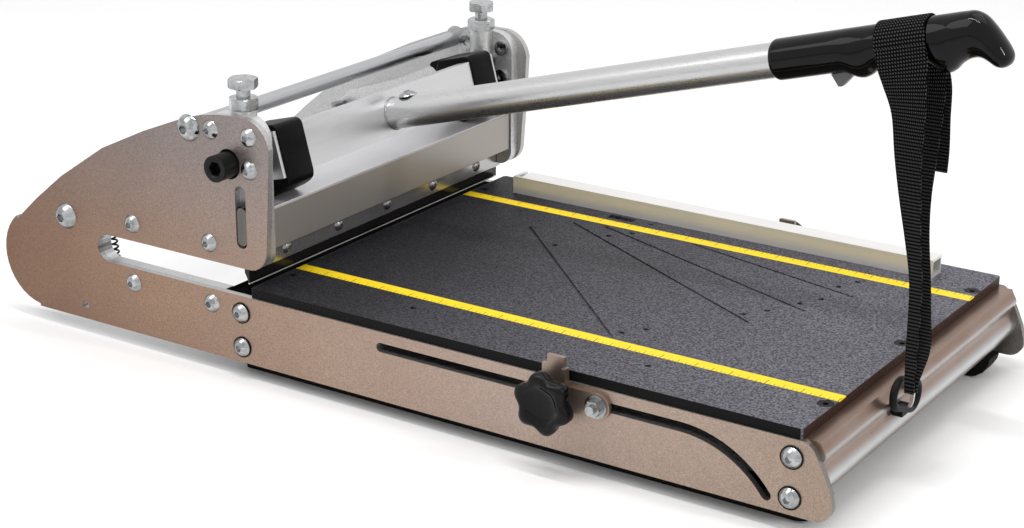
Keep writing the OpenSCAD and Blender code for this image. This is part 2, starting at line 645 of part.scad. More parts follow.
color("#8d8178") place() side_plate();  // side_plate_near
color("#8d8178") place() mirror([0, 1, 0]) side_plate();  // side_plate_far
color("#c4c4ca") place() c_frame();  // c_frame_near
color("#c4c4ca") place() mirror([0, 1, 0]) c_frame();  // c_frame_far
color("#b9bac0") place() tie_rod(tie_top);  // top_tie_rod
color("#b9bac0") place() tie_rod(tie_rear);  // rear_tie_rod
color("#d5d7d9") place() pair() { tie_bolt(tie_top); tie_bolt(tie_rear); }  // tie_rod_bolts
color("#d5d7d9") place() pair() for (p = c_bolts) c_frame_bolt(p);  // c_frame_bolts
color("#a9a8a6") place() rear_rail();
color("#a9a8a6") place() front_rail();
color("#d5d7d9") place() pair() for (p = rail_bolts_xz) rail_bolt(p);  // rail_bolts
color("#151515") place() pair() for (p = rail_bolts_xz) rail_washer(p);  // rail_washers
color("#141414") place() runner();  // runner_near
color("#141414") place() mirror([0, 1, 0]) runner();  // runner_far
color("#33313a") place() deck();
color("#f2c320") place() ruler(-1);  // ruler_near
color("#f2c320") place() ruler(1);  // ruler_far
color("#1a1a1c") place() for (p = deck_screws_xy) deck_screw(p);  // deck_screws
color("#c9c2b4") place() fence();
color("#8a8a8a") place() fence_pins();
color("#101010") place() rail_eye();
color("#9a9a9e") place() pair() pivot_block();  // pivot_blocks
color("#1c1d1f") place() pair() pivot_bolt();  // pivot_bolts
color("#cfcfcf") place() pair() pivot_washer();  // pivot_washers
color("#cfd0d4") place() pair() lock_nut();  // lock_nuts
color("#cfd0d4") place() adjuster();  // adjuster_near
color("#cfd0d4") place() mirror([0, 1, 0]) adjuster();  // adjuster_far
color("#202020") place() spring();  // spring_near
color("#202020") place() mirror([0, 1, 0]) spring();  // spring_far
color("#9a9a9e") place() pair() spring_seats();  // spring_pins
color("#c6c7c8") place() lever_bar();
color("#17171a") place() cam();  // cam_near
color("#17171a") place() mirror([0, 1, 0]) cam();  // cam_far
color("#c3c6cb") place() handle_tube();
color("#9d9d9d") place() handle_plug();
color("#d5d7d9") place() handle_bolt();
color("#0d0d10") place() grip();
color("#5a5a5c") place() grip_lug();
color("#141414") place() strap_loop();
color("#141414") place() strap_tail();
color("#a0a0a0") place() strap_hook();
color("#a5a3a8") place() blade_carrier();
color("#8c857e") place() clamp_strip();
color("#7c7c7c") place() clamp_screws();
color("#55565a") place() blade();
color("#8f8f94") place() pair() guide_key();  // guide_keys
color("#a59c90") place() stop_bracket();  // stop_near
color("#cfd0d4") place() stop_bolts();  // stop_bolt_near
color("#0f0f11") place() knob();  // knob_near
color("#a59c90") place() mirror([0, 1, 0]) stop_bracket();  // stop_far
color("#cfd0d4") place() mirror([0, 1, 0]) stop_bolts();  // stop_bolt_far
color("#0f0f11") place() mirror([0, 1, 0]) knob();  // knob_far
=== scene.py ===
"""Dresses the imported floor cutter: finishes for its metal, board and plastic pieces, a dipped grip,
a webbing strap, wound springs and star knobs, in a plain studio seen from the photograph's angle."""

from __future__ import annotations

import json
import logging
import math
from dataclasses import dataclass
from enum import Enum
from typing import Any, Sequence, Union

import bmesh
import bpy
from mathutils import Matrix, Vector

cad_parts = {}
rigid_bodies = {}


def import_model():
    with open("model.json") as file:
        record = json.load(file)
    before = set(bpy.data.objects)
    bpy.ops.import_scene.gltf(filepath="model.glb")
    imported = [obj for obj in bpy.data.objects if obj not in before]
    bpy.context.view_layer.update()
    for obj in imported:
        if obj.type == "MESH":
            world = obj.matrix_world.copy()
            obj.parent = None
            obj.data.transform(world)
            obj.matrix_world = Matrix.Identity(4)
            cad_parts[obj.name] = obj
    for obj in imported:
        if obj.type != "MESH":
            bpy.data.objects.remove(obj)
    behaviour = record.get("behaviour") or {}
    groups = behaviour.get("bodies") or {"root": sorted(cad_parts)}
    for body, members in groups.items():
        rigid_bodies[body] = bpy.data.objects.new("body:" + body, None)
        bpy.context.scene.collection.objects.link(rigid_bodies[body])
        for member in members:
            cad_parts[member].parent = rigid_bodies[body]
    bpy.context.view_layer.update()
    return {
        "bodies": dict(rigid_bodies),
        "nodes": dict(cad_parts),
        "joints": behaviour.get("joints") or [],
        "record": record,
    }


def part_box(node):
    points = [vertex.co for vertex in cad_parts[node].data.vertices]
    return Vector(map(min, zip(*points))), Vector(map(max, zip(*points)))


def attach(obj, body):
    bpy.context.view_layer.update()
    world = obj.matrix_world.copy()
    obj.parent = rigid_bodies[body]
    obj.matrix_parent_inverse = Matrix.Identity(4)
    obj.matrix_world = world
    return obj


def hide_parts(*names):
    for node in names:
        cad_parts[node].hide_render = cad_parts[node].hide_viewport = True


LOG = logging.getLogger("floor_cutter")
MM = 0.001
TILT = math.radians(15.35)
PIVOT = (-14.0, 0.0, 97.0)
AXIS_DROP = -3.4
Colour = tuple[float, float, float]


class Axis(Enum):
    """The row's axes, as places in a vector."""

    X = 0
    Y = 1
    Z = 2


@dataclass(frozen=True)
class Bench:
    """Turns sizes on the tool into metres in the shared frame.

    Sizes run forward from the cutting line, across from the middle and up from the plates' top edge.
    """

    cut: float
    top: float

    @classmethod
    def measured(cls) -> "Bench":
        """Reads the cutting line and the plates' top edge from the deck's own box.

        Returns:
            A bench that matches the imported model.
        """
        low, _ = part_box("deck")
        return cls(cut=low.x, top=low.z)

    def at(self, x: float, y: float, z: float) -> Vector:
        """One point.

        Args:
            x: millimetres forward of the cutting line.
            y: millimetres across, positive on the far side.
            z: millimetres above the plates' top edge.

        Returns:
            The point in metres in the shared frame.
        """
        return Vector((self.cut + x * MM, y * MM, self.top + z * MM))

    def handle(self) -> Matrix:
        """Places a piece drawn along the handle, X along it and Z above it, at the lever's pivot."""
        return Matrix.Translation(self.at(*PIVOT)) @ Matrix.Rotation(-TILT, 4, "Y")


class Value:
    """A number or colour inside a shader, on which Python's operators add Math nodes."""

    def __init__(self, shader: "Shader", socket: bpy.types.NodeSocket) -> None:
        """Wraps one output socket of a shader's node."""
        self.shader = shader
        self.socket = socket

    def maths(self, operation: str, *others: "Operand") -> "Value":
        """Adds one Math node.

        Args:
            operation: the node's operation.
            others: the values after this one.

        Returns:
            The node's result.
        """
        return self.shader.node("Math", {"operation": operation}, dict(enumerate((self, *others))))

    def swapped(self, operation: str, first: "Operand") -> "Value":
        """Adds one Math node in which this value comes second."""
        return self.shader.node("Math", {"operation": operation}, {0: first, 1: self})

    def __add__(self, other: "Operand") -> "Value":
        """Sum."""
        return self.maths("ADD", other)

    def __radd__(self, other: "Operand") -> "Value":
        """Sum with a plain number first."""
        return self.maths("ADD", other)

    def __sub__(self, other: "Operand") -> "Value":
        """Difference."""
        return self.maths("SUBTRACT", other)

    def __rsub__(self, other: "Operand") -> "Value":
        """Difference from a plain number."""
        return self.swapped("SUBTRACT", other)

    def __mul__(self, other: "Operand") -> "Value":
        """Product."""
        return self.maths("MULTIPLY", other)

    def __rmul__(self, other: "Operand") -> "Value":
        """Product with a plain number first."""
        return self.maths("MULTIPLY", other)

    def __truediv__(self, other: "Operand") -> "Value":
        """Quotient."""
        return self.maths("DIVIDE", other)

    def __mod__(self, other: "Operand") -> "Value":
        """What is left after whole periods, never negative."""
        return self.maths("FLOORED_MODULO", other)

    def __abs__(self) -> "Value":
        """Size without its sign."""
        return self.maths("ABSOLUTE")

    def __lt__(self, other: "Operand") -> "Value":
        """One where this is smaller, else nothing."""
        return self.maths("LESS_THAN", other)

    def __gt__(self, other: "Operand") -> "Value":
        """One where this is larger, else nothing."""
        return self.maths("GREATER_THAN", other)


Operand = Union[Value, float]


class Shader:
    """One material's nodes, ending in a Principled shader."""

    def __init__(self, name: str) -> None:
        """Starts a material of that name with nothing but its shader and output."""
        self.material = bpy.data.materials.new(name)
        self.material.use_nodes = True
        self.tree = self.material.node_tree
        self.surface = next(n for n in self.tree.nodes if n.type == "BSDF_PRINCIPLED")
        place = self.tree.nodes.new("ShaderNodeTexCoord")
        self.object_space = Value(self, place.outputs["Object"])
        self.uv_space = Value(self, place.outputs["UV"])

    def node(self, kind: str, settings: dict[str, Any], sockets: dict[Any, Any], output: Any = 0) -> Value:
        """Adds any node.

        Args:
            kind: the node's type, without its ShaderNode prefix.
            settings: the node's own settings, set first; stops fills a ramp.
            sockets: values or links by socket name or number.
            output: the name or number of the result.

        Returns:
            The chosen result.
        """
        made = self.tree.nodes.new("ShaderNode" + kind)
        for key, value in settings.items():
            if key == "stops":
                ramp = made.color_ramp.elements
                while len(ramp) < len(value):
                    ramp.new(0.5)
                for element, (place, shade) in zip(ramp, value):
                    element.position = place
                    element.color = (*shade, 1.0)
            else:
                setattr(made, key, value)
        for key, value in sockets.items():
            if isinstance(value, Value):
                self.tree.links.new(value.socket, made.inputs[key])
            else:
                made.inputs[key].default_value = value
        return Value(self, made.outputs[output])

    def part(self, axis: Axis, space: Value | None = None) -> Value:
        """One coordinate of a space, the object's own if none is given, in metres."""
        return self.node("SeparateXYZ", {}, {0: space or self.object_space}, axis.value)

    def stretched(self, scale: Colour) -> Value:
        """The object's space with each axis scaled, so that a pattern gets its grain direction."""
        return self.node("Mapping", {}, {"Vector": self.object_space, "Scale": scale})

    def noise(self, scale: float, detail: float = 3.0, space: Value | None = None,
              rough: float = 0.5) -> Value:
        """Cloudy noise from 0 to 1; scale is in patches to the metre."""
        return self.node("TexNoise", {}, {"Vector": space or self.object_space, "Scale": scale,
                                          "Detail": detail, "Roughness": rough})

    def cells(self, scale: float) -> Value:
        """Voronoi cells, each of one random colour; scale is in cells to the metre."""
        return self.node("TexVoronoi", {}, {"Vector": self.object_space, "Scale": scale}, "Color")

    def mix(self, factor: Operand, low: Any, high: Any) -> Value:
        """A colour between two others."""
        sockets = {0: factor, 6: low if isinstance(low, Value) else (*low, 1.0),
                   7: high if isinstance(high, Value) else (*high, 1.0)}
        return self.node("Mix", {"data_type": "RGBA"}, sockets, 2)

    def bump(self, height: Value, strength: float, depth_mm: float) -> Value:
        """A relief of that depth for the Normal socket."""
        return self.node("Bump", {}, {"Height": height, "Strength": strength, "Distance": depth_mm * MM})

    def set(self, **sockets: Any) -> None:
        """Sets or links the Principled shader's sockets, named with underscores for spaces."""
        for key, value in sockets.items():
            target = self.surface.inputs[key.replace("_", " ")]
            if isinstance(value, Value):
                self.tree.links.new(value.socket, target)
            else:
                target.default_value = (*value, 1.0) if isinstance(value, tuple) else value


@dataclass(frozen=True)
class Finish:
    """What every finish has: a name, a colour, how metallic and how rough it is."""

    name: str
    colour: Colour
    metal: float = 0.0
    rough: float = 0.5

    def shade(self, by: float) -> Colour:
        """The finish's colour, lighter or darker by a factor."""
        return (self.colour[0] * by, self.colour[1] * by, self.colour[2] * by)

    def dress(self, shader: Shader) -> None:
        """Lays the finish on a shader."""
        shader.set(Base_Color=self.colour, Metallic=self.metal, Roughness=self.rough)

    def material(self) -> bpy.types.Material:
        """The finish as a material, made once."""
        found = bpy.data.materials.get("finish_" + self.name)
        if found:
            return found
        shader = Shader("finish_" + self.name)
        self.dress(shader)
        return shader.material


@dataclass(frozen=True)
class ZincFlake(Finish):
    """Zinc plating or cast metal with fine crystals that catch the light one by one."""

    flake_mm: float = 0.9
    contrast: float = 0.35
    relief_mm: float = 0.03
    cloud: float = 0.16

    def tinted(self, shader: Shader, by: float) -> Any:
        """The colour times a factor."""
        return self.shade(by)

    def dress(self, shader: Shader) -> None:
        """Crystals vary the colour and the gloss; broad clouds dull it here and there."""
        tone = shader.node("SeparateColor", {}, {0: shader.cells(1000 / self.flake_mm)}, 0)
        fine = shader.noise(900 / self.flake_mm, 2)
        clouds = shader.noise(14, 4)
        mark = (tone - 0.5) * 0.75 + (fine - 0.5) * 1.6 + 0.5
        dark, pale = (self.tinted(shader, by) for by in (1 - self.contrast, 1 + self.contrast))
        colour = shader.mix(mark, dark, pale)
        worn = shader.mix((clouds - 0.35) * (self.cloud * 3), colour, self.tinted(shader, 0.66))
        gloss = self.rough + 0.16 * (tone - 0.5) + 0.2 * (clouds - 0.5)
        shader.set(Base_Color=worn, Metallic=self.metal, Roughness=gloss,
                   Normal=shader.bump(fine + tone * 0.5, 0.4, self.relief_mm))


@dataclass(frozen=True)
class ShadedPlate(ZincFlake):
    """A plated side plate with painted light: warm on its outer face and browner low down, a painted
    reflection of the brown floor, darker towards the rear end; cool grey on its inner face, with painted
    shade at the front nose.

    Each row gives colours along X, from the rear end at 0 to the front end at 1.
    """

    outer_face: float = 1.0
    # low and high paint the outer face: low down a painted brown reflection of the floor, less brown higher
    # up, both darker towards the rear end.
    low: Sequence[tuple[float, Colour]] = ((0.0, (0.205, 0.118, 0.08)), (0.22, (0.315, 0.205, 0.145)),
                                           (0.65, (0.41, 0.315, 0.265)), (0.96, (0.34, 0.26, 0.205)))
    high: Sequence[tuple[float, Colour]] = ((0.0, (0.18, 0.132, 0.115)), (0.34, (0.275, 0.237, 0.23)),
                                            (0.62, (0.33, 0.285, 0.27)))
    # The inner face's row ends in painted shade at the front nose.
    inner_colour_painted_shade: Sequence[tuple[float, Colour]] = ((0.0, (0.48, 0.48, 0.49)), (0.8, (0.46, 0.44, 0.42)),
                                              (0.93, (0.20, 0.19, 0.17)))

    def tinted(self, shader: Shader, by: float) -> Value:
        """The plate's colour times a factor, from its rows of colours, which carry the painted reflection
        and painted shade.
        """
        run = (shader.part(Axis.X) + 0.36) / 0.72
        low, high, inner_colour_painted_shade = (
            shader.node("ValToRGB", {"stops": [(at, tuple(by * c for c in tint)) for at, tint in row]},
                        {0: run})
            for row in (self.low, self.high, self.inner_colour_painted_shade))
        # Painted reflection: from 0.17 m down to 0.07 m the outer face turns to the browner painted floor
        # reflection.
        outer_colour_painted_reflection = shader.mix((shader.part(Axis.Z) - 0.07) / 0.10, low, high)
        return shader.mix(abs(shader.part(Axis.Y)) > (self.outer_face - 0.3 * MM), inner_colour_painted_shade, outer_colour_painted_reflection)


@dataclass(frozen=True)
class Drawn(Finish):
    """Drawn, rolled or brushed metal with streaks along one axis."""

    along: Axis = Axis.X
    streak: float = 0.12
    cloud: float = 0.2

    def dress(self, shader: Shader) -> None:
        """Streaks run along the chosen axis; soft clouds and small smears change the gloss."""
        scale = [700.0, 700.0, 700.0]
        scale[self.along.value] = 7.0
        streaks = shader.noise(1, 3, shader.stretched(tuple(scale)))
        clouds = shader.noise(24, 4)
        mark = (streaks - 0.5) * 1.8 + 0.5
        colour = shader.mix(mark, self.shade(1 - self.streak), self.shade(1 + self.streak))
        dull = shader.mix((clouds - 0.35) * (self.cloud * 3), colour, self.shade(0.72))
        gloss = self.rough + 0.16 * (streaks - 0.5) + 0.24 * (clouds - 0.5)
        shader.set(Base_Color=dull, Metallic=self.metal, Roughness=gloss)


@dataclass(frozen=True)
class RolledRail(Drawn):
    """A rolled rail with painted light: painted cool highlights along its swells and a painted warm brown
    reflection of the floor between them.
    """

    top: float = 0.0
    painted_floor_reflection: Colour = (0.25, 0.165, 0.125)

    def swell(self, shader: Shader, depth_mm: float, wide_mm: float) -> Value:
        """One on the band of a swell's painted highlight, nothing away from it."""
        away = ((self.top - shader.part(Axis.Z)) * 1000 - depth_mm) / wide_mm
        return (away * away * -1.0).maths("EXPONENT")

    def dress(self, shader: Shader) -> None:
        """Painted highlights in two bright bands on the swells and a fainter thin one near the bottom edge,
        with the painted brown floor reflection between them.
        """
        # Painted highlights: bands 11, 27 and 45 mm below the deck's underside.
        painted_highlight = self.swell(shader, 11, 4) * 0.75 + self.swell(shader, 27, 5)
        painted_highlight = painted_highlight + self.swell(shader, 45, 2.5) * 0.6
        clouds = shader.noise(30, 3)
        colour = shader.mix(painted_highlight + (clouds - 0.5) * 0.35, self.painted_floor_reflection, self.colour)
        shader.set(Base_Color=colour, Metallic=self.metal, Roughness=self.rough + 0.15 * (clouds - 0.5))


@dataclass(frozen=True)
class ToneSplitAtLevel(Drawn):
    """Metal that has another colour below one level: on the blade a ground edge; on the carrier a painted
    lit top face above painted shade on the faces below it.
    """

    level: float = 0.0
    below: Colour = (0.5, 0.5, 0.5)

    def dress(self, shader: Shader) -> None:
        """One colour above the level and the other below it, both a little clouded."""
        under = shader.part(Axis.Z) < self.level
        clouds = shader.noise(20, 3)
        colour = shader.mix(under, self.colour, self.below)
        dull = shader.mix((clouds - 0.3) * self.cloud, colour, (0.0, 0.0, 0.0))
        shader.set(Base_Color=dull, Metallic=self.metal, Roughness=self.rough + 0.1 * (clouds - 0.5))


@dataclass(frozen=True)
class Coated(Finish):
    """Powder coat, black oxide or moulded plastic: an even colour with a fine peel."""

    peel_mm: float = 0.6
    relief_mm: float = 0.03
    shine: float = 0.3

    def dress(self, shader: Shader) -> None:
        """A fine peel and faint handling marks."""
        peel = shader.noise(1000 / self.peel_mm, 2)
        marks = shader.noise(60, 5, rough=0.65)
        colour = shader.mix((marks - 0.5) * 2 + 0.5, self.shade(0.6), self.shade(1.5))
        shader.set(Base_Color=colour, Metallic=self.metal, Roughness=self.rough + 0.2 * (marks - 0.5),
                   Specular_IOR_Level=self.shine, Normal=shader.bump(peel, 0.3, self.relief_mm))


@dataclass(frozen=True)
class GrainedBoard(Finish):
    """The deck's dark board with a pebbled, leathery grain and a raw brown front edge."""

    grain_mm: float = 0.95
    front: float = 0.0
    half_width: float = 1.0

    def dress(self, shader: Shader) -> None:
        """Wormy pebbles with dark seams; their pale, shiny peaks are a painted sheen, and painted light
        makes the board paler towards the front edge and darker towards the cutting line.
        """
        worms = shader.noise(1000 / (self.grain_mm * 1.7), 3, rough=0.6)
        grit = shader.noise(1000 / (self.grain_mm * 0.6), 2)
        rise = (worms - 0.5) * 3.2 + (grit - 0.5) * 1.6 + 0.45
        patches = shader.noise(7, 3)
        # Painted light: the board gets paler towards the front edge and darker towards the cutting line.
        painted_light_towards_front = (shader.part(Axis.X) - self.front) * 2.6 + 1.0 + (patches - 0.5) * 0.6
        # Painted sheen on the pebbles' peaks.
        painted_sheen_peaks = shader.mix(painted_light_towards_front, self.shade(1.1), self.shade(6.4))
        grain = shader.mix(rise, shader.mix(painted_light_towards_front, self.shade(0.15), self.shade(0.7)), painted_sheen_peaks)
        raw = shader.part(Axis.X) > (self.front - 0.4 * MM)
        side = abs(shader.part(Axis.Y)) > (self.half_width - 0.3 * MM)
        board = shader.mix(side, grain, (0.004, 0.004, 0.004))
        shader.set(Base_Color=shader.mix(raw, board, (0.035, 0.014, 0.009)), Specular_IOR_Level=0.1,
                   Roughness=self.rough + 0.25 * (patches - 0.5) - 0.1 * (rise - 0.5),
                   Normal=shader.bump(rise, 0.6, 0.35))


@dataclass(frozen=True)
class ScaleTape(Finish):
    """The yellow scale with its row of dark marks, read along X from the cutting line."""

    start: float = 0.0
    middle: float = 0.0
    side: float = 1.0

    def marks(self, shader: Shader, period_mm: float, thick_mm: float, reach_mm: float) -> Value:
        """One row of marks.

        Args:
            shader: the shader that gets them.
            period_mm: from one mark to the next.
            thick_mm: a mark's thickness.
            reach_mm: how far a mark reaches in from the scale's edge.

        Returns:
            One on a mark, else nothing.
        """
        run = (shader.part(Axis.X) - self.start) * 1000 + thick_mm / 2
        depth = (shader.part(Axis.Y) - self.middle) * (1000 * self.side) + 5.5
        return (run % period_mm < thick_mm) * (depth < reach_mm)

    def dress(self, shader: Shader) -> None:
        """Long, middle and short marks on slightly uneven yellow."""
        rows = [(25.4, 0.55, 6.5), (12.7, 0.45, 4.6), (6.35, 0.38, 3.2), (3.175, 0.32, 2.1)]
        ink: Value | None = None
        for row in rows:
            row_ink = self.marks(shader, *row)
            ink = row_ink if ink is None else ink.maths("MAXIMUM", row_ink)
        wear = shader.noise(180, 4)
        yellow = shader.mix(wear, self.shade(0.88), self.shade(1.08))
        shader.set(Base_Color=shader.mix(ink, yellow, (0.03, 0.028, 0.02)), Roughness=self.rough,
                   Specular_IOR_Level=0.2)


@dataclass(frozen=True)
class Woven(Finish):
    """Woven webbing: ribs across, threads along, read from the strap's own UV map in millimetres."""

    rib_mm: float = 2.3
    thread_mm: float = 2.0

    def dress(self, shader: Shader) -> None:
        """A herringbone of ribs and threads, with a painted highlight: pale spots where a rib and a thread
        rise together.
        """
        across = shader.part(Axis.X, shader.uv_space) * 1000
        along = shader.part(Axis.Y, shader.uv_space) * 1000
        rows = (along / self.rib_mm).maths("FLOOR")
        weft = abs(((along / self.rib_mm) % 1.0) - 0.5) * 2
        slant = (across + along * 0.3) / self.thread_mm + (rows % 2.0) * 0.5
        warp = abs((slant % 1.0) - 0.5) * 2
        rise = (1 - weft * weft) * 0.6 + (1 - warp * warp) * 0.6
        # Painted highlight: pale spots where a rib and a thread rise together.
        painted_highlight_spots = (1 - weft * weft) * (1 - warp * warp)
        fuzz = shader.noise(2500, 2)
        colour = shader.mix((painted_highlight_spots - 0.45) * 2.0 + (fuzz - 0.5) * 0.4, self.shade(0.4), self.shade(20.0))
        shader.set(Base_Color=colour, Roughness=self.rough, Specular_IOR_Level=0.04,
                   Normal=shader.bump(rise + fuzz * 0.3, 0.8, 0.4))


class Mesh:
    """A bmesh on its way to becoming one finished piece at the origin."""

    def __init__(self) -> None:
        """Starts empty."""
        self.bm = bmesh.new()

    def finish(self, name: str, place: Matrix, finish: Finish, smooth: bool = True) -> bpy.types.Object:
        """Turns the mesh into an object whose place is in its vertices.

        Args:
            name: the piece's name.
            place: where its own coordinates lie in the shared frame.
            finish: what covers it.
            smooth: whether its faces are shaded round.

        Returns:
            The object.
        """
        self.bm.transform(place)
        bmesh.ops.recalc_face_normals(self.bm, faces=self.bm.faces)
        data = bpy.data.meshes.new(name)
        self.bm.to_mesh(data)
        self.bm.free()
        for face in data.polygons:
            face.use_smooth = smooth
        data.materials.append(finish.material())
        piece = bpy.data.objects.new(name, data)
        bpy.context.scene.collection.objects.link(piece)
        return piece


def apply_modifiers(piece: bpy.types.Object) -> None:
    """Makes a piece's modifiers part of its mesh.

    Args:
        piece: the object to settle.
    """
    evaluated = piece.evaluated_get(bpy.context.evaluated_depsgraph_get())
    data = bpy.data.meshes.new_from_object(evaluated)
    piece.modifiers.clear()
    piece.data = data
    for face in data.polygons:
        face.use_smooth = True


def report(piece: bpy.types.Object, body: str, slot: str, *nodes: str) -> None:
    """Lets a piece ride on its body, hides the CAD nodes that it stands for, and logs it.

    Args:
        piece: the finished object.
        body: the body that carries it.
        slot: the record's material slot; not used.
        nodes: the CAD nodes that it stands for.
    """
    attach(piece, body)
    if nodes:
        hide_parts(*nodes)
    LOG.info("%s on %s, %d faces", piece.name, body, len(piece.data.polygons))


def smooth(sections: Sequence[tuple[float, ...]], steps: int) -> list[tuple[float, ...]]:
    """A smooth run through sections.

    Args:
        sections: the sections to pass through.
        steps: how many rows each span gets.

    Returns:
        The rows, ends included.
    """
    rows = []
    last = len(sections) - 1
    for span in range(last):
        around = [sections[min(max(span + k, 0), last)] for k in (-1, 0, 1, 2)]
        for step in range(steps):
            t = step / steps
            rows.append(tuple(
                0.5 * (2 * b + (c - a) * t + (2 * a - 5 * b + 4 * c - d) * t * t
                       + (3 * b - a - 3 * c + d) * t ** 3)
                for a, b, c, d in zip(*around)))
    rows.append(tuple(sections[last]))
    return rows


@dataclass
class DippedGrip:
    """The dipped vinyl grip: a sleeve with two finger bumps and a hooked end.

    Each section joins a point on the top to one on the underside, both given along and above the handle.
    """

    bench: Bench
    radius: float = 14.0
    around: int = 56

    def sections(self) -> list[tuple[float, float, float, float, float]]:
        """The sections from the rear to the tip: top point, underside point and half width."""
        top, low, wide = AXIS_DROP + self.radius, AXIS_DROP - self.radius, self.radius
        rear = [(349.0 + u, top - r, 349.0 + u, low + r, wide - r)
                for u, r in ((0.0, 3.2), (0.25, 1.9), (1.2, 0.75), (2.6, 0.15), (4.4, 0.0))]
        bumps = [(365, low), (385, low), (394, low), (400, -18.4), (405.5, -21.4), (411, -22.8),
                 (416.5, -21.4), (422, -18.5), (430, low), (445, low), (453, -17.9), (459, -20.4),
                 (464, -24.6), (469.2, -26.7), (474, -25.2), (478.5, -22.0)]
        hook = [(486, 10.5, 484, -19.8, 13.4), (492.5, 9.9, 488.5, -19.4, 12.9),
                (498.3, 6.2, 491.8, -20.2, 12.5), (502.8, -0.2, 494.6, -21.9, 12.1),
                (506.9, -8, 497.2, -24, 11.7), (510, -15, 499.6, -26.1, 11.2),
                (511.4, -20, 502, -27.4, 9.6), (510.9, -24, 504.6, -27.9, 6.6),
                (509.4, -26.3, 506.9, -27.6, 2.6)]
        return smooth(rear + [(u, top, u, v, wide) for u, v in bumps] + hook, 5)

    def build(self) -> None:
        """Bridges one ring to the next, caps the ends and dresses the skin."""
        mesh = Mesh()
        before: list[Any] = []
        for u_top, v_top, u_low, v_low, wide in self.sections():
            above, below = Vector((u_top, 0, v_top)), Vector((u_low, 0, v_low))
            half = (above - below) / 2
            facing = Vector((0, 1, 0)).cross(half).normalized()
            frame = Matrix((half, Vector((0, wide, 0)), facing)).transposed().to_4x4()
            frame.translation = (above + below) / 2
            ring = bmesh.ops.create_circle(mesh.bm, cap_ends=False, segments=self.around, radius=1.0,
                                           matrix=Matrix.Scale(MM, 4) @ frame)["verts"]
            edges = list({edge for vert in ring for edge in vert.link_edges})
            if before:
                bmesh.ops.bridge_loops(mesh.bm, edges=before + edges)
            else:
                bmesh.ops.contextual_create(mesh.bm, geom=edges)
            before = edges
        bmesh.ops.contextual_create(mesh.bm, geom=before)
        report(mesh.finish("grip_skin", self.bench.handle(), GRIP_VINYL), "lever", "grip_black", "grip")


@dataclass
class WeldBead:
    """The thin bead where the handle tube meets the flat bar."""

    bench: Bench
    start: float = 22.5
    radius: float = 12.0
    bead: float = 0.75

    def build(self) -> None:
        """Spins a small round section about the handle's axis."""
        mesh = Mesh()
        bmesh.ops.create_circle(mesh.bm, cap_ends=False, segments=12, radius=self.bead * MM,
                                matrix=Matrix.Translation(Vector((self.start + 0.2, 0, self.radius)) * MM)
                                @ Matrix.Rotation(math.pi / 2, 4, "X"))
        bmesh.ops.spin(mesh.bm, geom=mesh.bm.verts[:] + mesh.bm.edges[:], cent=(0, 0, 0), axis=(1, 0, 0),
                       angle=math.tau, steps=96, use_merge=True, use_duplicate=False)
        place = self.bench.handle() @ Matrix.Translation((0, 0, AXIS_DROP * MM))
        report(mesh.finish("tube_weld", place, BLOCK_STEEL), "lever", "lever_alloy")


@dataclass
class Strand:
    """One hanging run of webbing, its sections listed from the lowest up."""

    name: str
    sections: Sequence[tuple[float, float, float, float]]


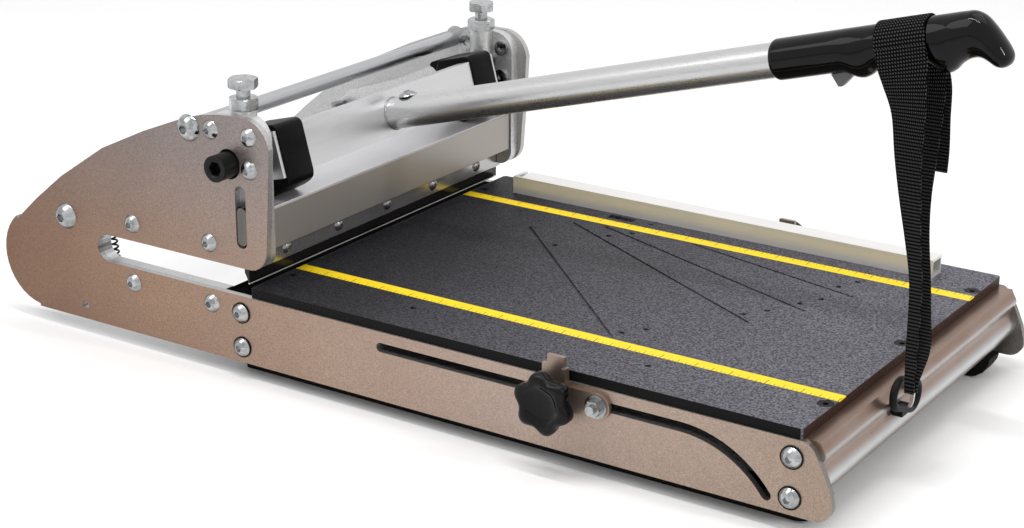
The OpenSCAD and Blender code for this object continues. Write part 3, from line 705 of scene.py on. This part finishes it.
@dataclass
class Strap:
    """The webbing strap: a turn over the grip, two hanging strands and a loose end."""

    bench: Bench
    width: float = 35.0
    thick: float = 1.7
    middle: float = 444.5
    grip_radius: float = 14.0

    def ribbon(self, name: str, rows: Sequence[tuple[Vector, Vector]], lengths: Sequence[float],
               width: float) -> bpy.types.Object:
        """A band of webbing through rows of edge points.

        Args:
            name: the piece's name.
            rows: each row's two edge points, in metres.
            lengths: how far along the strap each row lies, in millimetres.
            width: the strap's woven width for its UV map, in millimetres.

        Returns:
            The band with its thickness.
        """
        across = 10
        bm = bmesh.new()
        uv = bm.loops.layers.uv.new("UVMap")
        bmesh.ops.create_grid(bm, x_segments=across, y_segments=len(rows) - 1, size=0.5)
        places = {}
        for vert in bm.verts:
            share, row = vert.co.x + 0.5, round((vert.co.y + 0.5) * (len(rows) - 1))
            left, right = rows[row]
            places[vert] = (share * width * MM, lengths[row] * MM)
            vert.co = left.lerp(right, share)
        for face in bm.faces:
            for loop in face.loops:
                loop[uv].uv = places[loop.vert]
        data = bpy.data.meshes.new(name)
        bm.to_mesh(data)
        bm.free()
        data.materials.append(WEBBING.material())
        band = bpy.data.objects.new(name, data)
        bpy.context.scene.collection.objects.link(band)
        wall = band.modifiers.new("wall", "SOLIDIFY")
        wall.thickness, wall.offset = self.thick * MM, 0.0
        rim = band.modifiers.new("rim", "BEVEL")
        rim.width, rim.segments, rim.limit_method, rim.angle_limit = 0.35 * MM, 2, "ANGLE", math.radians(50)
        apply_modifiers(band)
        return band

    def hang(self, strand: Strand) -> bpy.types.Object:
        """Builds one hanging strand.

        Args:
            strand: its name and sections.

        Returns:
            The band.
        """
        rows, lengths, run = [], [], 0.0
        before: Vector | None = None
        for x, y, z, width in smooth(strand.sections, 6):
            middle = self.bench.at(x, y, z)
            lean = TILT * min(max((z - 165) / 34, 0.0), 1.0)
            half = Vector((math.cos(lean), 0, math.sin(lean))) * (width / 2 * MM)
            rows.append((middle - half, middle + half))
            run += 0.0 if before is None else (middle - before).length / MM
            lengths.append(run)
            before = middle
        return self.ribbon(strand.name, rows, lengths, self.width)

    def over_grip(self) -> bpy.types.Object:
        """Builds the turn of webbing over the grip."""
        place, radius = self.bench.handle(), self.grip_radius + self.thick / 2 + 0.15
        path = [Vector((0, -radius, -16.2 + k * 3.2)) for k in range(4)]
        path += [Vector((0, -radius * math.cos(a), AXIS_DROP + radius * math.sin(a)))
                 for a in (math.pi * k / 24 for k in range(25))]
        path += [Vector((0, radius, -6.6 - k * 3.2)) for k in range(4)]
        rows, lengths, run = [], [], 0.0
        for k, point in enumerate(path):
            run += (point - path[k - 1]).length if k else 0.0
            lengths.append(run)
            rows.append(tuple(place @ (Vector((self.middle + s * self.width / 2, point.y, point.z)) * MM)
                              for s in (-1, 1)))
        return self.ribbon("strap_over_grip", rows, lengths, self.width)

    def build(self) -> None:
        """Builds the turn and the hanging runs, each on its own body."""
        report(self.over_grip(), "lever", "webbing", "strap_loop")
        near = [(459.5, -65, 2, 6.5), (459.3, -65, 10, 7), (455, -55, 27, 8), (450.8, -44, 46, 8.5),
                (445.8, -34, 67, 9), (438.8, -26, 89, 11), (432.6, -20, 113, 15), (428, -17.4, 140, 18.5),
                (426, -17.2, 168, 23), (421.8, -17, 188, 30), (419.4, -16.8, 199, 34.4),
                (416.3, -16.8, 211, 34.4)]
        far = [(460.2, -61.6, 2, 7), (460.2, -61.6, 10, 8), (458.5, -46, 27, 11), (452, -33, 46, 11),
               (445, -21.5, 67, 11.5), (438.5, -12, 89, 11.5), (433.5, -3, 113, 13), (429.5, 10.5, 140, 15),
               (427.5, 14.6, 155, 18), (425.5, 16.4, 168, 22), (421.5, 17, 188, 30),
               (419.4, 16.8, 199, 34.4), (416.3, 16.8, 211, 34.4)]
        loose = [(435.4, 20.2, 123, 10), (435, 20, 140, 11.5), (432, 19.4, 160, 16), (427.5, 19, 180, 24),
                 (421, 18.7, 196, 29), (419.8, 18.6, 204, 29.5)]
        report(self.hang(Strand("strap_strand_near", near)), "strap", "webbing", "strap_tail")
        for strand in (Strand("strap_strand_far", far), Strand("strap_loose_end", loose)):
            report(self.hang(strand), "strap", "webbing")


@dataclass
class WoundSpring:
    """A small coil spring behind the throat."""

    bench: Bench
    side: float
    radius: float = 3.7
    wire: float = 0.8
    turns: int = 14
    height: float = 59.0
    lean: float = math.radians(-8.4)

    def build(self) -> None:
        """Sweeps a round wire along the coil."""
        mesh = Mesh()
        start = Matrix.Translation(Vector((self.radius, 0, self.wire)) * MM)
        bmesh.ops.create_circle(mesh.bm, cap_ends=True, segments=10, radius=self.wire * MM,
                                matrix=start @ Matrix.Rotation(math.pi / 2, 4, "X"))
        steps = self.turns * 24
        rise = Vector((0, 0, (self.height - 2 * self.wire) * MM / steps))
        bmesh.ops.spin(mesh.bm, geom=mesh.bm.verts[:] + mesh.bm.edges[:] + mesh.bm.faces[:],
                       cent=(0, 0, 0), axis=(0, 0, 1), dvec=rise, angle=math.tau * self.turns, steps=steps,
                       use_duplicate=False)
        foot = self.bench.at(-150.3, self.side * 142.5, -11.3)
        name = "near" if self.side < 0 else "far"
        place = Matrix.Translation(foot) @ Matrix.Rotation(self.lean, 4, "Y")
        spring = mesh.finish("wound_spring_" + name, place, SPRING_WIRE)
        report(spring, "frame", "spring_wire", "spring_" + name)


@dataclass
class StarKnob:
    """A star knob: round hub, six soft lobes and a dished face."""

    bench: Bench
    side: float
    stop: float = 260.0
    lobes: int = 6
    swell: float = 1.9
    phase: float = math.radians(43)

    def outline(self) -> list[tuple[float, float]]:
        """Half of the knob's section, as radius and distance from the foot, in millimetres."""
        back = [(3.3, 0), (8.6, 0), (9, 0.5), (9, 8), (14.5, 8.1)]
        rim = [(19.6 - 4.6 * (1 - math.sin(a)), 12.8 - 4.6 * math.cos(a))
               for a in (math.pi * k / 16 for k in range(9))]
        face = [(19.6 - 4.4 * (1 - math.cos(a)), 16.4 + 4.4 * math.sin(a))
                for a in (math.pi * k / 14 for k in range(8))]
        dish = [(13.9, 20.6), (12.9, 20.0), (11.6, 19.0), (9.5, 18.2), (6, 17.7), (3, 17.55), (0.01, 17.5)]
        return back + rim + face + dish

    def build(self) -> None:
        """Spins the section about the stud and pulls the lobes out."""
        mesh = Mesh()
        points = [mesh.bm.verts.new((radius * MM, 0, depth * MM)) for radius, depth in self.outline()]
        for first, second in zip(points, points[1:]):
            mesh.bm.edges.new((first, second))
        bmesh.ops.spin(mesh.bm, geom=mesh.bm.verts[:] + mesh.bm.edges[:], cent=(0, 0, 0), axis=(0, 0, 1),
                       angle=math.tau, steps=96, use_merge=True, use_duplicate=False)
        bmesh.ops.remove_doubles(mesh.bm, verts=mesh.bm.verts[:], dist=0.02 * MM)
        for vert in mesh.bm.verts:
            radius = math.hypot(vert.co.x, vert.co.y)
            share = min(max((radius / MM - 12.0) / 6.0, 0.0), 1.0)
            angle = math.atan2(vert.co.y, vert.co.x)
            wave = math.cos(self.lobes * (angle - self.phase))
            pull = 1 + share * self.swell * MM * wave / max(radius, MM)
            vert.co.x, vert.co.y = vert.co.x * pull, vert.co.y * pull
        name = "near" if self.side < 0 else "far"
        foot = self.bench.at(self.stop, self.side * 168, -11.4)
        turn = Matrix(((1, 0, 0), (0, 0, self.side), (0, 1, 0))).to_4x4()
        knob = mesh.finish("lobed_knob_" + name, Matrix.Translation(foot) @ turn, KNOB_PLASTIC)
        report(knob, "star_knob_" + name, "knob_black", "knob_" + name)


@dataclass
class Cam:
    """A cam with softened edges, as cast and powder coated."""

    bench: Bench
    side: float
    outer: float = 134.5
    broad: float = 29.0
    horn: float = 8.5
    rate: float = 12.0
    height: float = 30.7

    @staticmethod
    def tilted(u: float, v: float) -> tuple[float, float]:
        """A point given along and above the handle, turned into forward and up."""
        return u * math.cos(TILT) - v * math.sin(TILT), u * math.sin(TILT) + v * math.cos(TILT)

    def working_edge(self) -> list[tuple[float, float]]:
        """The edge that rolls on the carrier, from the resting point to the full lift."""
        edge = []
        for degrees in range(0, 71, 5):
            a = math.radians(degrees)
            drop = self.height - self.rate * a
            edge.append((self.rate * math.cos(a) - drop * math.sin(a),
                         -self.rate * math.sin(a) - drop * math.cos(a)))
        return edge

    def slab(self, mesh: Mesh, outline: Sequence[tuple[float, float]], thick: float, soft: float) -> None:
        """Adds one plate of the cam with rounded edges.

        Args:
            mesh: the mesh that gets it.
            outline: its corners, forward and up of the pivot, in millimetres.
            thick: its thickness inwards from the cam's outer face.
            soft: the rounding of its edges.
        """
        part = bmesh.new()
        level = self.side * self.outer * MM
        face = part.faces.new([part.verts.new((x * MM, level, z * MM)) for x, z in outline])
        sweep = bmesh.ops.extrude_face_region(part, geom=[face])
        moved = [item for item in sweep["geom"] if isinstance(item, bmesh.types.BMVert)]
        bmesh.ops.translate(part, verts=moved, vec=(0, -self.side * thick * MM, 0))
        bmesh.ops.recalc_face_normals(part, faces=part.faces[:])
        sharp = [edge for edge in part.edges if edge.calc_face_angle(0.0) > math.radians(28)]
        bmesh.ops.bevel(part, geom=sharp, offset=soft * MM, offset_type="OFFSET", affect="EDGES",
                        segments=4, profile=0.5, material=-1, clamp_overlap=True)
        data = bpy.data.meshes.new("cam_slab")
        part.to_mesh(data)
        part.free()
        mesh.bm.from_mesh(data)
        bpy.data.meshes.remove(data)

    def build(self) -> None:
        """Joins the broad cam and its thin horn."""
        mesh = Mesh()
        front = [(18, 19), (21.3, 18.2), (23.4, 16), (24, 13.2), (24, -21), (22.8, -25.2), (19, -28),
                 (13.5, -30.2)]
        broad = [self.tilted(*point) for point in front] + self.working_edge()
        broad += [(-15, -3), (-15.5, 6), (-13.5, 13), self.tilted(-8, 19)]
        horn = [(-6, 19), (-30.5, 16.8), (-33, 15.2), (-32.6, 13), (-29.8, 11.6), (-28.8, 9.4), (-26, 7.5),
                (-20, 2.5), (-12, -2), (-5, 0)]
        self.slab(mesh, broad, self.broad, 2.6)
        self.slab(mesh, [self.tilted(*point) for point in horn], self.horn, 1.2)
        name = "near" if self.side < 0 else "far"
        cam = mesh.finish("soft_cam_" + name, Matrix.Translation(self.bench.at(*PIVOT)), BLACK_POWDER)
        report(cam, "lever", "cam_black", "cam_" + name)


@dataclass
class Studio:
    """Floor, lamps, world and the camera at the photograph's angle."""

    bench: Bench
    image_width: int = 1024
    focal_px: float = 2070.58
    azimuth: float = math.radians(33.266)
    elevation: float = math.radians(19.717)
    roll: float = math.radians(0.376)
    ambient: float = 0.66
    stand: tuple[float, float, float] = (911.4, -1213.7, 520.5)

    def camera(self) -> None:
        """Places the camera as fitted to the plates, deck and bolts of the photograph."""
        sa, ca = math.sin(self.azimuth), math.cos(self.azimuth)
        se, ce = math.sin(self.elevation), math.cos(self.elevation)
        back = Vector((sa * ce, -ca * ce, se))
        right = Vector((ca, sa, 0))
        turn = Matrix.Rotation(self.roll, 4, back)
        right, up = turn @ right, turn @ back.cross(right)
        data = bpy.data.cameras.new("camera")
        data.sensor_width = 36.0
        data.lens = self.focal_px / self.image_width * data.sensor_width
        data.clip_end = 50.0
        camera = bpy.data.objects.new("camera", data)
        bpy.context.scene.collection.objects.link(camera)
        turned = Matrix((right, up, back)).transposed().to_4x4()
        camera.matrix_world = Matrix.Translation(self.bench.at(*self.stand)) @ turned
        bpy.context.scene.camera = camera

    def floor(self) -> None:
        """A wide pale floor that keeps a soft shadow."""
        mesh = Mesh()
        bmesh.ops.create_grid(mesh.bm, x_segments=4, y_segments=4, size=40.0)
        paint = Finish("floor_paint", (0.95, 0.95, 0.95), rough=1.0)
        mesh.finish("floor", Matrix.Translation((0, 0, -0.0004)), paint, smooth=False)

    def world(self) -> None:
        """Even light all round; the camera, metal and glass see white."""
        world = bpy.data.worlds.new("studio")
        bpy.context.scene.world = world
        world.use_nodes = True
        tree = world.node_tree
        output = next(n for n in tree.nodes if n.type == "OUTPUT_WORLD")
        light = next(n for n in tree.nodes if n.type == "BACKGROUND")
        light.inputs["Color"].default_value = (1, 1, 1, 1)
        light.inputs["Strength"].default_value = self.ambient
        seen = tree.nodes.new("ShaderNodeBackground")
        seen.inputs["Color"].default_value = (1, 1, 1, 1)
        path = tree.nodes.new("ShaderNodeLightPath")
        share = path.outputs["Is Camera Ray"]
        for ray in ("Is Glossy Ray", "Is Transmission Ray"):
            either = tree.nodes.new("ShaderNodeMath")
            either.operation = "MAXIMUM"
            tree.links.new(share, either.inputs[0])
            tree.links.new(path.outputs[ray], either.inputs[1])
            share = either.outputs[0]
        blend = tree.nodes.new("ShaderNodeMixShader")
        tree.links.new(share, blend.inputs[0])
        tree.links.new(light.outputs[0], blend.inputs[1])
        tree.links.new(seen.outputs[0], blend.inputs[2])
        tree.links.new(blend.outputs[0], output.inputs["Surface"])

    def lamp(self, name: str, place: Vector, aim: Vector, width: float, height: float,
             watts: float) -> None:
        """One soft box or strip.

        Args:
            name: the lamp's name.
            place: where it hangs, in metres.
            aim: the point it faces.
            width: its size along the level, in metres.
            height: its other size, in metres.
            watts: its power.
        """
        data = bpy.data.lights.new(name, "AREA")
        data.shape, data.size, data.size_y, data.energy = "RECTANGLE", width, height, watts
        lamp = bpy.data.objects.new(name, data)
        bpy.context.scene.collection.objects.link(lamp)
        lamp.location = place
        lamp.rotation_euler = (place - aim).to_track_quat("Z", "Y").to_euler()

    def build(self) -> None:
        """Sets the view transform and places everything."""
        bpy.context.scene.view_settings.view_transform = "Standard"
        self.camera()
        self.floor()
        self.world()
        middle = Vector((0, 0, 0.1))
        self.lamp("key_box", Vector((-0.9, -1.3, 2.2)), middle, 1.5, 1.5, 16)
        self.lamp("top_box", Vector((0.6, 0.7, 2.4)), middle, 1.6, 1.6, 9)
        self.lamp("over_strip", Vector((0.15, -0.45, 2.3)), Vector((0.15, 0, 0.2)), 1.6, 0.035, 16)
        self.lamp("front_strip", Vector((2.3, 0.1, 1.5)), Vector((0.3, 0, 0.3)), 0.10, 0.7, 12)


CAST_ALLOY = ZincFlake("cast_alloy", (0.62, 0.62, 0.62), 0.8, 0.40, flake_mm=1.2, contrast=0.12)
BRACKET_ZINC = Drawn("bracket_zinc", (0.33, 0.25, 0.20), 0.85, 0.34, along=Axis.X, streak=0.04)
BRIGHT_ZINC = ZincFlake("bright_zinc", (0.38, 0.385, 0.39), 1.0, 0.17, flake_mm=3.5, contrast=0.3,
                        relief_mm=0.02)
BRIGHT_ROD = Drawn("bright_rod", (0.48, 0.485, 0.50), 1.0, 0.30, along=Axis.Y, streak=0.04)
FENCE_ALLOY = Drawn("fence_alloy", (0.80, 0.785, 0.765), 0.5, 0.38, along=Axis.X, streak=0.05)
BAR_ALLOY = Drawn("lever_bar_alloy", (0.66, 0.66, 0.67), 0.85, 0.33, along=Axis.Y, streak=0.03, cloud=0.04)
TUBE_ALLOY = Drawn("handle_alloy", (0.56, 0.56, 0.565), 0.95, 0.29, along=Axis.X, streak=0.03, cloud=0.10)
STRIP_STEEL = Drawn("strip_steel", (0.48, 0.47, 0.47), 0.85, 0.2, along=Axis.Y, streak=0.05)
BLOCK_STEEL = Drawn("block_steel", (0.30, 0.30, 0.31), 0.9, 0.3, along=Axis.Z)
KEY_STEEL = Drawn("key_steel", (0.13, 0.12, 0.11), 0.95, 0.2, along=Axis.Z, streak=0.3)
# Painted shade: the rear rail is near black with no shine, so that its top between the blade and the deck
# reads as the dark gap there.
REAR_RAIL_PAINTED_SHADE = Coated("rear_rail_dark", (0.006, 0.006, 0.006), 0.0, 0.7, shine=0.0)
HOOK_STEEL = Drawn("hook_steel", (0.65, 0.65, 0.64), 1.0, 0.16, along=Axis.Z)
BLACK_POWDER = Coated("black_powder_coat", (0.003, 0.003, 0.0035), 0.0, 0.3, peel_mm=0.9, shine=0.07)
BLACK_OXIDE = Coated("black_oxide", (0.008, 0.008, 0.0085), 0.2, 0.3, relief_mm=0.01, shine=0.2)
KNOB_PLASTIC = Coated("knob_plastic", (0.003, 0.0025, 0.0025), 0.0, 0.08, peel_mm=3.0, relief_mm=0.02,
                      shine=0.18)
GRIP_VINYL = Coated("grip_vinyl", (0.0015, 0.0014, 0.0015), 0.0, 0.06, peel_mm=9.0, relief_mm=0.1,
                    shine=0.2)
NIB_VINYL = Coated("nib_vinyl", (0.10, 0.10, 0.105), 0.0, 0.4)
RUNNER_RUBBER = Coated("runner_rubber", (0.006, 0.006, 0.006), 0.0, 0.62, peel_mm=0.7, relief_mm=0.08,
                       shine=0.1)
WASHER_NYLON = Coated("washer_nylon", (0.006, 0.006, 0.006), 0.0, 0.45, shine=0.1)
SPRING_WIRE = Coated("spring_wire", (0.02, 0.018, 0.016), 0.7, 0.3)
WEBBING = Woven("webbing", (0.003, 0.003, 0.003), 0.0, 0.85)

NODE_FINISH: dict[str, Finish] = {
    "c_frame_near": CAST_ALLOY, "c_frame_far": CAST_ALLOY, "top_tie_rod": BRIGHT_ROD,
    "rear_tie_rod": BRIGHT_ROD, "tie_rod_bolts": BRIGHT_ZINC, "c_frame_bolts": BRIGHT_ZINC,
    "rail_bolts": BRIGHT_ZINC, "lock_nuts": BRIGHT_ZINC, "adjuster_near": BRIGHT_ZINC,
    "adjuster_far": BRIGHT_ZINC, "handle_bolt": BRIGHT_ZINC, "stop_bolt_near": BRIGHT_ZINC,
    "stop_bolt_far": BRIGHT_ZINC, "rear_rail": REAR_RAIL_PAINTED_SHADE, "rail_washers": WASHER_NYLON,
    "deck_screws": WASHER_NYLON, "rail_eye": WASHER_NYLON, "runner_near": RUNNER_RUBBER,
    "runner_far": RUNNER_RUBBER, "fence": FENCE_ALLOY, "fence_pins": BLOCK_STEEL,
    "spring_pins": BLOCK_STEEL, "clamp_screws": BLOCK_STEEL, "pivot_blocks": BLACK_OXIDE,
    "pivot_bolts": BLACK_OXIDE, "pivot_washers": BLACK_OXIDE, "lever_bar": BAR_ALLOY,
    "handle_tube": TUBE_ALLOY, "handle_plug": TUBE_ALLOY, "grip_lug": NIB_VINYL, "strap_hook": HOOK_STEEL,
    "clamp_strip": STRIP_STEEL, "guide_keys": KEY_STEEL, "stop_near": BRACKET_ZINC,
    "stop_far": BRACKET_ZINC,
}


def dress_nodes(nodes: dict[str, bpy.types.Object]) -> None:
    """Gives each carried-over CAD node its finish.

    Args:
        nodes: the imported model's objects by name.
    """
    finishes = dict(NODE_FINISH)
    # The side plates' finish paints a floor reflection and shade into their colour.
    plate = ShadedPlate("plate_zinc_flake", (0.4, 0.4, 0.4), 0.8, 0.38, flake_mm=0.6, contrast=0.26,
                        outer_face=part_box("side_plate_far")[1].y)
    finishes["side_plate_near"] = finishes["side_plate_far"] = plate
    low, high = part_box("deck")
    finishes["deck"] = GrainedBoard("deck_board", (0.034, 0.033, 0.039), 0.0, 0.42, front=high.x,
                                    half_width=high.y)
    # The front rail's colour is the colour of its painted highlights.
    finishes["front_rail"] = RolledRail("front_rail_rolled", (0.50, 0.51, 0.52), 0.85, 0.3, top=low.z)
    finishes["blade"] = ToneSplitAtLevel("blade_ground", (0.016, 0.014, 0.013), 0.4, 0.14, cloud=0.1,
                                level=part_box("blade")[0].z + 0.9 * MM, below=(0.85, 0.84, 0.82))
    # Painted light: the carrier's top face is painted light and its faces below painted shade, both the
    # same alloy.
    finishes["blade_carrier"] = ToneSplitAtLevel("carrier_alloy", (0.64, 0.64, 0.66), 0.6, 0.36, cloud=0.1,
                                        level=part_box("blade_carrier")[1].z - 0.3 * MM,
                                        below=(0.36, 0.335, 0.31))
    for side, name in ((-1.0, "ruler_near"), (1.0, "ruler_far")):
        low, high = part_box(name)
        finishes[name] = ScaleTape(name + "_tape", (0.95, 0.68, 0.012), 0.0, 0.42,
                                   start=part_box("deck")[0].x, middle=(low.y + high.y) / 2, side=-side)
    for name, finish in finishes.items():
        node = nodes[name]
        if not node.data.materials:
            node.data.materials.append(None)
        for slot in node.material_slots:
            slot.material = finish.material()
    LOG.info("dressed %d nodes", len(finishes))


def main() -> None:
    """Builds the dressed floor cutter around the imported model."""
    logging.basicConfig(level=logging.INFO, format="%(name)s: %(message)s")
    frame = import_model()
    bench = Bench.measured()
    Studio(bench).build()
    dress_nodes(frame["nodes"])
    DippedGrip(bench).build()
    WeldBead(bench).build()
    Strap(bench).build()
    for side in (-1.0, 1.0):
        WoundSpring(bench, side).build()
        StarKnob(bench, side).build()
        Cam(bench, side).build()


if __name__ == "__main__":
    main()
